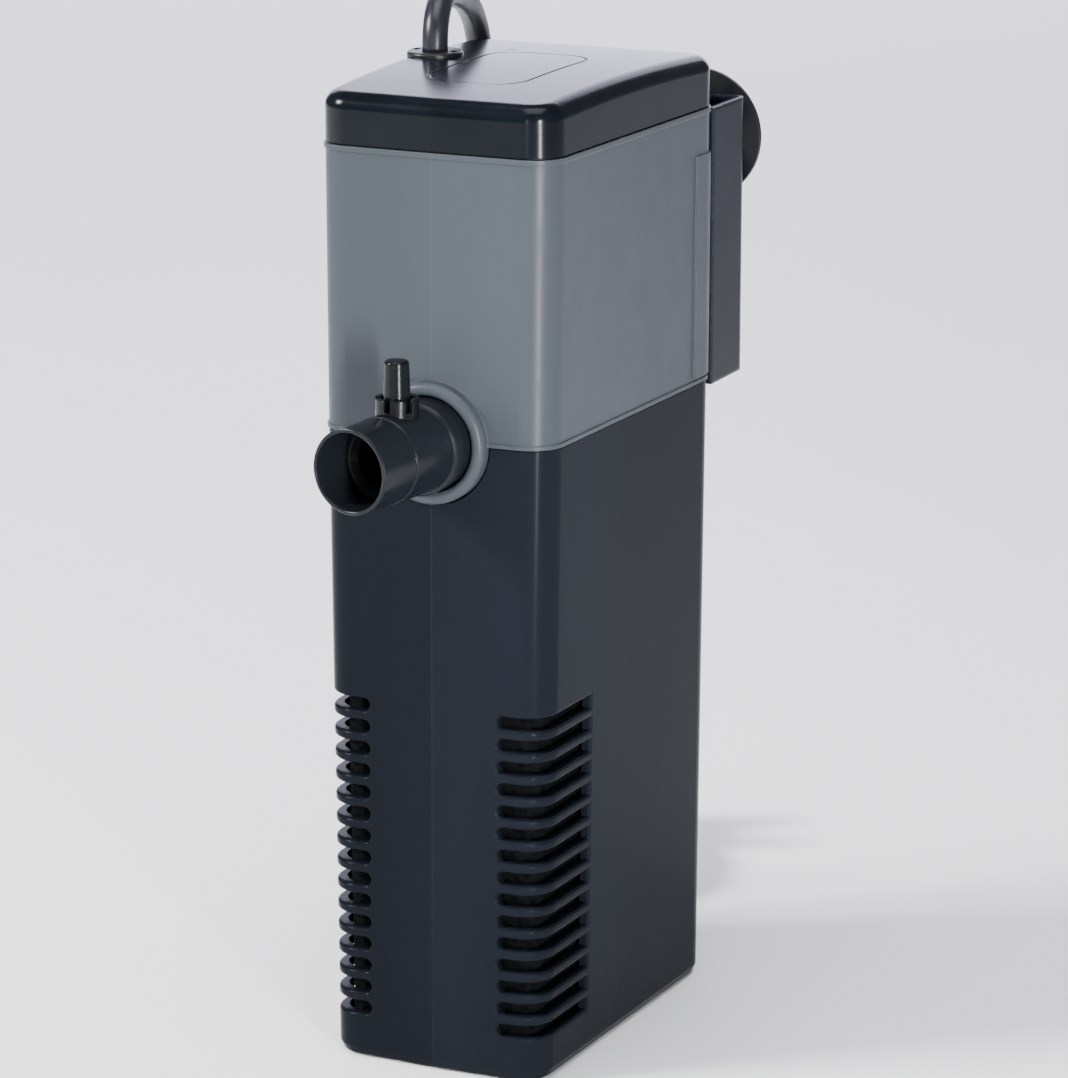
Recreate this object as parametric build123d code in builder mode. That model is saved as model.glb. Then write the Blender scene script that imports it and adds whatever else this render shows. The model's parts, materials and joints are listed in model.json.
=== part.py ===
from build123d import *
import math
import os

# Internal power filter for an aquarium: a slotted sponge canister, and above it a pump head that carries
# the outlet nozzle, the glossy lid, the mains lead and, at its back, a holder with two suction cups.
# Millimetres. +Z is up, the nozzle points to -Y, and the origin is the centre of the base.

# Outer casing. Its plan is a rounded trapezium, wider at the rear, with a fine crease down the front.
SEAM_Z = 206.5            # lower edge of the lid
JOINT_Z = 143.8           # where the canister meets the head
TOP_Z = 218.9             # crest of the lid
LID_CROWN = 1.4           # how far the lid's top falls from its crest to the front and rear edges
WIDTHS = {0.0: 51.5, JOINT_Z: 54.6, SEAM_Z: 55.4}
DEPTHS = {0.0: 87.5, JOINT_Z: 85.9, SEAM_Z: 84.8}
REAR_SPREAD = 3.1         # how much further out each side stands at the rear than at the front
CORNER_RADIUS = 7.2
CREASE = 0.4
WALL = 2.2
FLOOR = 2.6

# Intake slots round both front corners of the canister
SLOT_COUNT = 15
SLOT_PITCH = 5.045
SLOT_HEIGHT = 2.85
LOWEST_SLOT_Z = 11.95
SLOT_FRONT_X = 15.5       # inner end on the front face
SLOT_SIDE_Y = -20.0       # rear end on the side faces
SLOT_ROUNDING = 0.7       # of their outer edges
SLOTTED_FROM_Z = 9.0
SLOTTED_TO_Z = 86.0

# Outlet, along -Y through the joint
OUTLET_Z = 143.65
COLLAR_RADIUS = 13.5
COLLAR_FRONT_Y = -46.2
COLLAR_REAR_Y = -37.0
COLLAR_BORE = 10.6
DUCT_BORE = 8.0
DUCT_RADIUS = 9.2
DUCT_END_Y = -36.0

# Nozzle
SPIGOT_RADIUS = 10.25
SPIGOT_FRONT_Y = -51.7
NOZZLE_RADIUS = 9.3
NOZZLE_BORE = 8.5
NOZZLE_LENGTH = 23.6
SHOULDER_RADIUS = 9.5     # behind the stretch that takes a hose
SHOULDER_END = 12.0
NOZZLE_BEND = 8.7         # degrees that the spout turns to the left of its swivel axis
AIR_X = -1.0
AIR_Y = -57.5
AIR_TOP_Z = 164.4

# Motor and pump, on the Z axis
SHAFT_RADIUS = 1.25
RUNNING_GAP = 0.05
WELL_BORE = 8.6
WELL_RADIUS = 9.8
CHAMBER_RADIUS = 16.5
VOLUTE_RADIUS = 18.5
CHAMBER_FLOOR_Z = 136.6
CHAMBER_TOP_Z = 150.6
VOLUTE_TOP_Z = 153.0
DECK_Z = 153.3
DECK_TOP_Z = 155.3
CAN_TOP_Z = 201.5
STRAINER_BASE_Z = 40.0

# Holder on the rear
HOLDER_LOW_Z = 141.6
HOLDER_HIGH_Z = 205.2
HOLDER_HALF_WIDTH = 29.6
HOLDER_FRONT_Y = 41.6
HOLDER_REAR_Y = 62.0
HOLDER_WALL = 1.7
RAIL_X = 16.0
RAIL_LOW_Z = 148.0
RAIL_HIGH_Z = 200.0
RAIL_NECK = 3.0
RAIL_HEAD = 8.0
SLIDE_GAP = 0.4
CUP_X = 15.8
CUP_Z = 194.8
CUP_RADIUS = 15.3
CUP_RIM_Y = 66.5

# Mains lead
CORD = 5.8
CORD_RADIUS = CORD / 2
CORD_LENGTH = 1500.0
CORD_X = -23.2
CORD_Y = 7.0
GROMMET_TOP_Z = 219.8
COIL_RADIUS = 30.0        # middle of the turns
COIL_BASE_Z = 0.9
COIL_WIDE = 3             # turns side by side
COIL_HIGH = 2             # turns on top of each other
COIL_X = -40.84
COIL_Y = 87.98
COIL_TURN = 24.9          # degrees; the coil's own frame, in which the lead reaches it along its y
PLUG_LENGTH = 33.0
PLUG_WIDTH = 26.0
PLUG_THICK = 13.0
PIN_RADIUS = 2.0
PIN_LENGTH = 19.0
PIN_SPACING = 18.6


def at_height(table, z):
    """The value of a size at height z, straight between the heights of its table."""
    levels = sorted(table)
    low, high = (levels[0], levels[1]) if z <= levels[1] else (levels[1], levels[2])
    return table[low] + (table[high] - table[low]) * (z - low) / (high - low)


def plan(z, inset=0.0):
    """The casing's plan at height z, drawn in by inset all round."""
    front = at_height(WIDTHS, z) / 2 - inset
    rear = front + REAR_SPREAD
    depth = at_height(DEPTHS, z) / 2 - inset
    with BuildSketch(Plane.XY.offset(z)) as outline:
        with BuildLine():
            Polyline(
                (0, -depth - CREASE), (front, -depth), (rear, depth), (-rear, depth), (-front, -depth), close=True
            )
        make_face()
        corners = outline.vertices().filter_by(lambda v: abs(v.X) > 1)
        fillet(corners, CORNER_RADIUS - inset)
    return outline.sketch


def across(y):
    """A plane that faces the front, at depth y: its x is X, its y is Z."""
    return Plane.XZ.offset(-y)


def save(builder, name):
    builder.part.label = name
    export_step(builder.part, f"parts/{name}.step")


os.makedirs("parts", exist_ok=True)

# ---------------------------------------------------------------- canister

RIM_Z = JOINT_Z - 0.3


def slot_rims(shell):
    """The slots' edges on the shell's outer face: those outside the middle of its wall."""
    with BuildPart() as core:
        loft(sections=[plan(0, WALL / 2), plan(RIM_Z, WALL / 2)], ruled=True)
    rims = []
    for edge in shell.edges().filter_by_position(Axis.Z, SLOTTED_FROM_Z, SLOTTED_TO_Z):
        upright = edge.geom_type == GeomType.LINE and abs((edge % 0.5).Z) > 0.9
        if not upright and not core.part.is_inside(edge @ 0.5):
            rims.append(edge)
    return rims


with BuildPart() as canister_shell:
    loft(sections=[plan(0, 2.2), plan(0.7, 0.8)], ruled=True)
    loft(sections=[plan(0.7, 0.8), plan(2.4)], ruled=True)
    loft(sections=[plan(2.4), plan(RIM_Z)], ruled=True)
    loft(sections=[plan(FLOOR, WALL), plan(RIM_Z, WALL)], ruled=True, mode=Mode.SUBTRACT)
    # half-round seat for the outlet collar
    with BuildSketch(across(-30)):
        with Locations((0, OUTLET_Z)):
            Circle(COLLAR_RADIUS + 0.4)
    extrude(amount=30, mode=Mode.SUBTRACT)
    # intake slots, open round both front corners
    with BuildSketch(across(SLOT_SIDE_Y)):
        for row in range(SLOT_COUNT):
            z = LOWEST_SLOT_Z + row * SLOT_PITCH
            for side in (-1, 1):
                with Locations((side * (SLOT_FRONT_X + 20), z)):
                    SlotOverall(40, SLOT_HEIGHT)
    extrude(amount=40, mode=Mode.SUBTRACT)
    fillet(slot_rims(canister_shell), SLOT_ROUNDING)
save(canister_shell, "canister_shell")

SPONGE_GAP = 0.8
SPONGE_BORE = 11.4
SPONGE_SPLIT_Z = 84.0
SPONGE_TOP_Z = 126.0


def sponge_block(low, high):
    with BuildPart() as block:
        loft(sections=[plan(low, WALL + SPONGE_GAP), plan(high, WALL + SPONGE_GAP)], ruled=True)
        with BuildSketch(Plane.XY.offset(max(low, STRAINER_BASE_Z - 1))):
            Circle(SPONGE_BORE)
        extrude(until=Until.LAST, mode=Mode.SUBTRACT)
    return block


coarse_sponge = sponge_block(FLOOR + 0.3, SPONGE_SPLIT_Z)
save(coarse_sponge, "sponge_coarse")
fine_sponge = sponge_block(SPONGE_SPLIT_Z + 0.2, SPONGE_TOP_Z)
save(fine_sponge, "sponge_fine")

# ---------------------------------------------------------------- head casing

SKIRT_LOW_Z = 137.0
SKIRT_OUT = WALL + 0.4
SKIRT_IN = WALL + 2.0
LEDGE_Z = 146.0
CASING_TOP_Z = SEAM_Z - 0.2
BEAD = 0.35
STOP_HEIGHTS = (184.5, 193.5)
STOP_HEIGHT = 1.2

with BuildPart() as side_strips:
    # flat raised bands beside the holder, near the rear of both sides
    loft(sections=[plan(145.3, -0.5), plan(196.2, -0.5)], ruled=True)
    with BuildSketch(Plane.XY.offset(140)):
        with Locations((0, 34.3)):
            Rectangle(90, 8.6)
    extrude(amount=60, mode=Mode.INTERSECT)

with BuildPart() as head_casing:
    loft(sections=[plan(JOINT_Z), plan(CASING_TOP_Z)], ruled=True)
    extrude(plan(JOINT_Z, -BEAD), amount=0.9)
    extrude(plan(CASING_TOP_Z - 1.1, -BEAD), amount=1.1)
    add(side_strips.part)
    extrude(plan(SKIRT_LOW_Z, SKIRT_OUT), amount=JOINT_Z - SKIRT_LOW_Z)
    # small stops beside the holder
    for z in STOP_HEIGHTS:
        with BuildSketch(Plane.XY.offset(z - STOP_HEIGHT / 2)):
            for side in (-1, 1):
                with Locations((side * 28.3, 39.5)):
                    Circle(1.1)
        extrude(amount=STOP_HEIGHT)
    # rails for the holder
    with BuildSketch(Plane.XY.offset(RAIL_LOW_Z)):
        for x in (-RAIL_X, RAIL_X):
            with Locations((x, 43.9)):
                Rectangle(RAIL_NECK, 4.6)
            with Locations((x, 47.1)):
                Rectangle(RAIL_HEAD, 1.8)
    extrude(amount=RAIL_HIGH_Z - RAIL_LOW_Z)
    # outlet collar
    with BuildSketch(across(COLLAR_REAR_Y)):
        with Locations((0, OUTLET_Z)):
            Circle(COLLAR_RADIUS)
    extrude(amount=COLLAR_REAR_Y - COLLAR_FRONT_Y)
    rim = head_casing.edges().filter_by(GeomType.CIRCLE).group_by(Axis.Y)[0]
    fillet(rim, 1.6)
    # pump chamber below the deck and motor space above it
    extrude(plan(SKIRT_LOW_Z, SKIRT_IN), amount=LEDGE_Z - SKIRT_LOW_Z, mode=Mode.SUBTRACT)
    loft(sections=[plan(LEDGE_Z, WALL), plan(DECK_Z, WALL)], ruled=True, mode=Mode.SUBTRACT)
    loft(sections=[plan(DECK_TOP_Z, WALL), plan(CASING_TOP_Z, WALL)], ruled=True, mode=Mode.SUBTRACT)
    with BuildSketch(Plane.XY.offset(DECK_Z)):
        Circle(WELL_RADIUS + 0.3)
        with GridLocations(32, 32, 2, 2):
            Circle(1.4)
    extrude(amount=DECK_TOP_Z - DECK_Z, mode=Mode.SUBTRACT)
    with BuildSketch(across(COLLAR_REAR_Y + 6)):
        with Locations((0, OUTLET_Z)):
            Circle(COLLAR_BORE)
    extrude(amount=30, mode=Mode.SUBTRACT)
    mouth = head_casing.edges().filter_by(GeomType.CIRCLE).group_by(Axis.Y)[0].sort_by(SortBy.RADIUS)[0]
    fillet(mouth, 1.2)
save(head_casing, "head_casing")

# ---------------------------------------------------------------- lid

LID_LOW_Z = SEAM_Z + 0.1
LID_EDGE = 3.6
CROWN_RADIUS = ((DEPTHS[SEAM_Z] / 2) ** 2 + LID_CROWN**2) / (2 * LID_CROWN)
LABEL_X = -1.0
LABEL_Y = -2.0
PAD_RADIUS = 6.3

with BuildPart() as lid:
    extrude(plan(SEAM_Z), amount=16)
    with BuildSketch(Plane.YZ.offset(-60)):
        with Locations((0, TOP_Z - CROWN_RADIUS)):
            Circle(CROWN_RADIUS)
    extrude(amount=120, mode=Mode.INTERSECT)
    with BuildSketch(Plane.XY.offset(LID_LOW_Z)):
        Rectangle(90, 110)
    extrude(amount=40, mode=Mode.INTERSECT)
    fillet(lid.faces().sort_by(Axis.Z)[-1].edges(), LID_EDGE)
    extrude(plan(SEAM_Z, SKIRT_OUT).moved(Location((0, 0, -4))), amount=4 + LID_LOW_Z - SEAM_Z)
    extrude(plan(SEAM_Z, SKIRT_IN).moved(Location((0, 0, -4))), amount=4 + LID_LOW_Z - SEAM_Z, mode=Mode.SUBTRACT)
    extrude(plan(SEAM_Z, SKIRT_IN).moved(Location((0, 0, LID_LOW_Z - SEAM_Z))), amount=8, mode=Mode.SUBTRACT)
    # outline of the label field, and the small dimple behind it
    with BuildSketch(Plane.XY.offset(TOP_Z - 0.45)):
        with Locations((LABEL_X, LABEL_Y)):
            RectangleRounded(24, 44, 8)
            RectangleRounded(22.8, 42.8, 7.4, mode=Mode.SUBTRACT)
        with Locations((-11.5, 22.5)):
            Circle(1.2)
    extrude(amount=5, mode=Mode.SUBTRACT)
    # cord hole with a seat for the grommet's flange
    with BuildSketch(Plane.XY.offset(TOP_Z - 1.4)):
        with Locations((CORD_X, CORD_Y)):
            Circle(PAD_RADIUS)
    extrude(amount=5, mode=Mode.SUBTRACT)
    with BuildSketch(Plane.XY.offset(LID_LOW_Z)):
        with Locations((CORD_X, CORD_Y)):
            Circle(4.2)
    extrude(amount=20, mode=Mode.SUBTRACT)
save(lid, "lid")

with BuildPart() as lid_gasket:
    extrude(plan(SEAM_Z, 0.8).moved(Location((0, 0, -0.2))), amount=0.3)
    extrude(plan(SEAM_Z, SKIRT_OUT + 0.1).moved(Location((0, 0, -0.2))), amount=0.3, mode=Mode.SUBTRACT)
    extrude(plan(SEAM_Z, WALL).moved(Location((0, 0, -0.2))), amount=0.3, mode=Mode.SUBTRACT)
save(lid_gasket, "lid_gasket")

with BuildPart() as cord_grommet:
    with BuildSketch(Plane.XY.offset(TOP_Z - 1.4)):
        with Locations((CORD_X, CORD_Y)):
            Circle(PAD_RADIUS)
            for side in (-1, 1):
                with Locations((side * 4.6, 0)):
                    Rectangle(1.6, 2.4, mode=Mode.SUBTRACT)
    extrude(amount=GROMMET_TOP_Z - TOP_Z + 1.4)
    with BuildSketch(Plane.XY.offset(211)):
        with Locations((CORD_X, CORD_Y)):
            Circle(4.2)
    extrude(amount=TOP_Z - 1.4 - 211)
    fillet(cord_grommet.faces().sort_by(Axis.Z)[-1].outer_wire().edges(), 0.6)
save(cord_grommet, "cord_grommet")

# ---------------------------------------------------------------- motor

CAN_FLOOR_Z = DECK_TOP_Z + 0.3
CAN_WALL = 1.5
CAN_X = 21.5
CAN_FRONT_Y = -17.0
CAN_REAR_Y = 37.5
WELL_TOP_Z = 193.0
WELL_CAP = 1.6
CORE_LOW_Z = 163.0
CORE_HIGH_Z = 181.0
LEG_X = 10.5


def slab(x0, x1, y0, y1, z0, z1, mode=Mode.ADD):
    with BuildSketch(Plane.XY.offset(z0)) as base:
        with Locations(((x0 + x1) / 2, (y0 + y1) / 2)):
            Rectangle(x1 - x0, y1 - y0)
    return extrude(base.sketch, amount=z1 - z0, mode=mode)


def disc(radius, z0, z1, mode=Mode.ADD):
    with BuildSketch(Plane.XY.offset(z0)) as base:
        Circle(radius)
    return extrude(base.sketch, amount=z1 - z0, mode=mode)


with BuildPart() as motor_can:
    slab(-CAN_X, CAN_X, CAN_FRONT_Y, CAN_REAR_Y, CAN_FLOOR_Z, CAN_TOP_Z)
    fillet(motor_can.edges().filter_by(Axis.Z), 3)
    slab(
        CAN_WALL - CAN_X, CAN_X - CAN_WALL, CAN_FRONT_Y + CAN_WALL, CAN_REAR_Y - CAN_WALL,
        CAN_FLOOR_Z + CAN_WALL, CAN_TOP_Z, Mode.SUBTRACT,
    )
    disc(WELL_RADIUS, VOLUTE_TOP_Z, WELL_TOP_Z)
    disc(WELL_BORE, VOLUTE_TOP_Z, WELL_TOP_Z - WELL_CAP, Mode.SUBTRACT)
save(motor_can, "motor_can")

with BuildPart() as stator_core:
    slab(-18, 18, -13, 13, CORE_LOW_Z, CORE_HIGH_Z)
    for side in (-1, 1):
        slab(side * LEG_X - 4, side * LEG_X + 4, 13, 29, CORE_LOW_Z, CORE_HIGH_Z)
    slab(-14.5, 14.5, 29, 36, CORE_LOW_Z, CORE_HIGH_Z)
    disc(WELL_RADIUS + 0.3, CORE_LOW_Z, CORE_HIGH_Z, Mode.SUBTRACT)
save(stator_core, "stator_core")

for side, name in ((-1, "winding_left"), (1, "winding_right")):
    with BuildPart() as winding:
        slab(side * LEG_X - 9, side * LEG_X + 9, 14, 28, CORE_LOW_Z - 4, CORE_HIGH_Z + 4)
        fillet(winding.edges().filter_by(Axis.Y), 4)
        slab(side * LEG_X - 4, side * LEG_X + 4, 14, 28, CORE_LOW_Z, CORE_HIGH_Z, Mode.SUBTRACT)
    save(winding, name)

with BuildPart() as potting_resin:
    slab(
        CAN_WALL - CAN_X, CAN_X - CAN_WALL, CAN_FRONT_Y + CAN_WALL, CAN_REAR_Y - CAN_WALL,
        CORE_HIGH_Z + 4, CAN_TOP_Z - 2,
    )
    disc(WELL_RADIUS, CORE_HIGH_Z + 4, WELL_TOP_Z, Mode.SUBTRACT)
save(potting_resin, "potting_resin")

# ---------------------------------------------------------------- pump chamber

COVER_LOW_Z = 134.4
COVER_HIGH_Z = 136.6
INLET_RADIUS = 7.0
HUB_RADIUS = 4.0
BUSH_RADIUS = 2.6

with BuildPart() as volute_housing:
    disc(VOLUTE_RADIUS, CHAMBER_FLOOR_Z, CHAMBER_TOP_Z)
    with BuildSketch(Plane.XY.offset(CHAMBER_TOP_Z)):
        RectangleRounded(40, 40, 5)
    extrude(amount=VOLUTE_TOP_Z - CHAMBER_TOP_Z)
    with BuildSketch(across(-10)):
        with Locations((0, OUTLET_Z)):
            Circle(DUCT_RADIUS)
    extrude(amount=-10 - DUCT_END_Y)
    with BuildSketch(across(-10)):
        with Locations((0, OUTLET_Z)):
            Circle(DUCT_BORE)
    extrude(amount=30, mode=Mode.SUBTRACT)
    disc(CHAMBER_RADIUS, CHAMBER_FLOOR_Z, CHAMBER_TOP_Z, Mode.SUBTRACT)
    disc(WELL_BORE, CHAMBER_TOP_Z, VOLUTE_TOP_Z, Mode.SUBTRACT)
    with BuildSketch(Plane.XY.offset(CHAMBER_TOP_Z)):
        with GridLocations(32, 32, 2, 2):
            Circle(1.4)
    extrude(amount=5, mode=Mode.SUBTRACT)
save(volute_housing, "volute_housing")

with BuildPart() as motor_screws:
    with BuildSketch(Plane.XY.offset(CHAMBER_TOP_Z - 1.8)):
        with GridLocations(32, 32, 2, 2):
            Circle(2.6)
    extrude(amount=1.8)
    with BuildSketch(Plane.XY.offset(CHAMBER_TOP_Z - 1.8)):
        with GridLocations(32, 32, 2, 2):
            Circle(1.2)
    extrude(amount=DECK_TOP_Z - CHAMBER_TOP_Z + 1.6)
save(motor_screws, "motor_screws")

with BuildPart() as impeller_cover:
    disc(VOLUTE_RADIUS, COVER_LOW_Z, COVER_HIGH_Z)
    disc(INLET_RADIUS, COVER_LOW_Z, COVER_HIGH_Z, Mode.SUBTRACT)
    disc(HUB_RADIUS, COVER_LOW_Z, COVER_HIGH_Z)
    with BuildSketch(Plane.XY.offset(COVER_LOW_Z)):
        with PolarLocations(5.5, 3):
            Rectangle(4, 1.4)
    extrude(amount=COVER_HIGH_Z - COVER_LOW_Z)
    disc(BUSH_RADIUS, COVER_LOW_Z, COVER_HIGH_Z, Mode.SUBTRACT)
    # notch for the outlet duct, which hangs below the chamber's floor
    with BuildSketch(across(-9.7)):
        with Locations((0, OUTLET_Z)):
            Circle(DUCT_RADIUS + 0.2)
    extrude(amount=12, mode=Mode.SUBTRACT)
save(impeller_cover, "impeller_cover")

with BuildPart() as lower_bush:
    disc(BUSH_RADIUS, COVER_LOW_Z, COVER_HIGH_Z)
    disc(SHAFT_RADIUS, COVER_LOW_Z, COVER_HIGH_Z, Mode.SUBTRACT)
save(lower_bush, "lower_bush")

with BuildPart() as upper_bush:
    disc(4, WELL_TOP_Z - WELL_CAP - 3, WELL_TOP_Z - WELL_CAP)
    disc(SHAFT_RADIUS, WELL_TOP_Z - WELL_CAP - 3, WELL_TOP_Z - WELL_CAP, Mode.SUBTRACT)
save(upper_bush, "upper_bush")

with BuildPart() as rotor_shaft:
    disc(SHAFT_RADIUS, COVER_LOW_Z, WELL_TOP_Z - WELL_CAP)
save(rotor_shaft, "rotor_shaft")

STRAINER_RADIUS = 10.5
STRAINER_TOP_Z = COVER_LOW_Z
with BuildPart() as intake_strainer:
    disc(STRAINER_RADIUS, STRAINER_BASE_Z, STRAINER_TOP_Z)
    disc(14.5, STRAINER_TOP_Z - 2, STRAINER_TOP_Z)
    disc(STRAINER_RADIUS - 1.6, STRAINER_BASE_Z + 2, STRAINER_TOP_Z, Mode.SUBTRACT)
    with BuildSketch(Plane.XY.offset(STRAINER_BASE_Z + 6)):
        with PolarLocations(STRAINER_RADIUS - 0.8, 8):
            Rectangle(4, 2.2)
    extrude(amount=76, mode=Mode.SUBTRACT)
save(intake_strainer, "intake_strainer")

# ---------------------------------------------------------------- rotor

IMPELLER_LOW_Z = 138.0
IMPELLER_DISC_Z = 148.4
IMPELLER_HIGH_Z = 150.0
IMPELLER_RADIUS = 14.8
MAGNET_LOW_Z = 157.5
MAGNET_HIGH_Z = 186.5
SHAFT_BORE = SHAFT_RADIUS + RUNNING_GAP

with BuildPart() as rotor_magnet:
    disc(7.5, MAGNET_LOW_Z, MAGNET_HIGH_Z)
    disc(SHAFT_BORE, MAGNET_LOW_Z, MAGNET_HIGH_Z, Mode.SUBTRACT)
save(rotor_magnet, "rotor_magnet")

with BuildPart() as rotor_sleeve:
    disc(4.0, IMPELLER_HIGH_Z, MAGNET_LOW_Z)
    disc(SHAFT_BORE, IMPELLER_HIGH_Z, MAGNET_LOW_Z, Mode.SUBTRACT)
save(rotor_sleeve, "rotor_sleeve")

with BuildPart() as impeller:
    disc(IMPELLER_RADIUS, IMPELLER_DISC_Z, IMPELLER_HIGH_Z)
    disc(4.2, IMPELLER_LOW_Z, IMPELLER_DISC_Z)
    with BuildSketch(Plane.XY.offset(IMPELLER_LOW_Z)):
        with PolarLocations(9.0, 6):
            Rectangle(11, 1.5)
    extrude(amount=IMPELLER_DISC_Z - IMPELLER_LOW_Z)
    disc(SHAFT_BORE, IMPELLER_LOW_Z, IMPELLER_HIGH_Z, Mode.SUBTRACT)
save(impeller, "impeller")

# ---------------------------------------------------------------- outlet nozzle

BEND = math.radians(NOZZLE_BEND)
SPOUT_DIRECTION = (-math.sin(BEND), -math.cos(BEND), 0)
SPOUT = Plane(origin=(0, SPIGOT_FRONT_Y, OUTLET_Z), x_dir=(-math.cos(BEND), math.sin(BEND), 0), z_dir=SPOUT_DIRECTION)
SPIGOT_REAR_Y = DUCT_END_Y - 0.4
RING_Y = -41.0
RING_RADIUS = 0.7
SEAL_CENTRE_Z = OUTLET_Z + COLLAR_BORE - RUNNING_GAP - RING_RADIUS
SOCKET_RADIUS = 3.3
SOCKET_TOP_Z = 153.4
THROAT_START = 8.0
THROAT_LENGTH = 5.0

with BuildPart() as outlet_nozzle:
    with BuildSketch(across(SPIGOT_REAR_Y)):
        with Locations((0, OUTLET_Z)):
            Circle(SPIGOT_RADIUS)
    extrude(amount=SPIGOT_REAR_Y - SPIGOT_FRONT_Y)
    chamfer(outlet_nozzle.edges().group_by(Axis.Y)[0], 0.5)
    with BuildSketch(SPOUT.offset(-3)):
        Circle(NOZZLE_RADIUS)
    extrude(amount=NOZZLE_LENGTH + 3)
    with BuildSketch(SPOUT.offset(-3)):
        Circle(SHOULDER_RADIUS)
    extrude(amount=SHOULDER_END + 3)
    # socket of the air inlet
    with BuildSketch(Plane.XY.offset(OUTLET_Z + 6)):
        with Locations((AIR_X, AIR_Y)):
            Circle(SOCKET_RADIUS)
    extrude(amount=SOCKET_TOP_Z - OUTLET_Z - 6)
    with BuildSketch(SPOUT.offset(-3)):
        Circle(NOZZLE_BORE)
    extrude(amount=NOZZLE_LENGTH + 3, mode=Mode.SUBTRACT)
    with BuildSketch(across(SPIGOT_REAR_Y)):
        with Locations((0, OUTLET_Z)):
            Circle(DUCT_BORE)
    extrude(amount=SPIGOT_REAR_Y - SPIGOT_FRONT_Y, mode=Mode.SUBTRACT)
    with BuildSketch(Plane.XY.offset(OUTLET_Z)):
        with Locations((AIR_X, AIR_Y)):
            Circle(1.3)
    extrude(amount=12, mode=Mode.SUBTRACT)
    # groove of the seal
    with BuildSketch(Plane.YZ):
        with Locations((RING_Y, SEAL_CENTRE_Z)):
            Rectangle(2 * RING_RADIUS + 0.2, 2 * RING_RADIUS + 0.1)
    revolve(axis=Axis((0, 0, OUTLET_Z), (0, 1, 0)), mode=Mode.SUBTRACT)
    fillet(outlet_nozzle.edges().filter_by(GeomType.CIRCLE).group_by(Axis.Y)[0], 0.3)
save(outlet_nozzle, "outlet_nozzle")

with BuildPart() as nozzle_seal:
    with BuildSketch(Plane.YZ):
        with Locations((RING_Y, SEAL_CENTRE_Z)):
            Circle(RING_RADIUS)
    revolve(axis=Axis((0, 0, OUTLET_Z), (0, 1, 0)))
save(nozzle_seal, "nozzle_seal")

with BuildPart() as venturi_throat:
    with BuildSketch(SPOUT.offset(THROAT_START)):
        Circle(NOZZLE_BORE)
    extrude(amount=THROAT_LENGTH)
    with BuildSketch(SPOUT.offset(THROAT_START)):
        Circle(6.2)
    extrude(amount=THROAT_LENGTH, mode=Mode.SUBTRACT)
    chamfer(venturi_throat.faces().sort_by(Axis.Y)[0].edges().sort_by(SortBy.LENGTH)[0], 1.4)
save(venturi_throat, "venturi_throat")

COLLAR_LOW_Z = 149.8
COLLAR_HIGH_Z = 156.4
with BuildPart() as air_collar:
    # castellated ring round the air inlet, saddled on the spout
    with BuildSketch(Plane.XY.offset(COLLAR_LOW_Z)):
        with Locations((AIR_X, AIR_Y)):
            Circle(4.7)
            Circle(3.6, mode=Mode.SUBTRACT)
    extrude(amount=COLLAR_HIGH_Z - COLLAR_LOW_Z)
    with BuildSketch(Plane.XY.offset(COLLAR_HIGH_Z - 2.6)):
        with Locations((AIR_X, AIR_Y)):
            with PolarLocations(4.4, 6, start_angle=30):
                Rectangle(3, 1.5)
    extrude(amount=5, mode=Mode.SUBTRACT)
    with BuildSketch(SPOUT.offset(-2)):
        Circle(SHOULDER_RADIUS)
    extrude(amount=NOZZLE_LENGTH, mode=Mode.SUBTRACT)
save(air_collar, "air_collar")

with BuildPart() as air_peg:
    with BuildSketch(Plane.XY.offset(SOCKET_TOP_Z + 0.1)):
        with Locations((AIR_X, AIR_Y)):
            Circle(3.05)
    with BuildSketch(Plane.XY.offset(AIR_TOP_Z)):
        with Locations((AIR_X, AIR_Y)):
            Circle(2.65)
    loft()
    fillet(air_peg.faces().sort_by(Axis.Z)[-1].edges(), 0.7)
    with BuildSketch(Plane.XY.offset(SOCKET_TOP_Z)):
        with Locations((AIR_X, AIR_Y)):
            Circle(1.3)
    extrude(amount=8.5, mode=Mode.SUBTRACT)
save(air_peg, "air_peg")

# ---------------------------------------------------------------- holder

HOLDER_MID_Y = (HOLDER_FRONT_Y + HOLDER_REAR_Y) / 2
HOLDER_DEPTH = HOLDER_REAR_Y - HOLDER_FRONT_Y
HOOK_GAP = RAIL_HEAD / 2 + SLIDE_GAP
with BuildPart() as holder_bracket:
    # a channel, open to the front, at the top and at the bottom
    with BuildSketch(Plane.XY.offset(HOLDER_LOW_Z)) as channel:
        with Locations((0, HOLDER_MID_Y)):
            Rectangle(2 * HOLDER_HALF_WIDTH, HOLDER_DEPTH)
        fillet(channel.vertices().group_by(Axis.Y)[-1], 4)
        with Locations((0, HOLDER_MID_Y - 1)):
            Rectangle(2 * (HOLDER_HALF_WIDTH - HOLDER_WALL), HOLDER_DEPTH - 2, mode=Mode.SUBTRACT)
        # hooks that grip the two rails
        for x in (-RAIL_X, RAIL_X):
            for side in (-1, 1):
                with Locations((x + side * (HOOK_GAP + 0.8), 52.7)):
                    Rectangle(1.6, 16.9)
                with Locations((x + side * (HOOK_GAP - 0.4), 45.05)):
                    Rectangle(3.2, 1.6)
    extrude(amount=HOLDER_HIGH_Z - HOLDER_LOW_Z)
    # keyholes for the cups
    with BuildSketch(across(HOLDER_REAR_Y + 1)):
        for x in (-CUP_X, CUP_X):
            with Locations((x, CUP_Z)):
                Circle(3.3)
    extrude(amount=4, mode=Mode.SUBTRACT)
save(holder_bracket, "holder_bracket")

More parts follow.
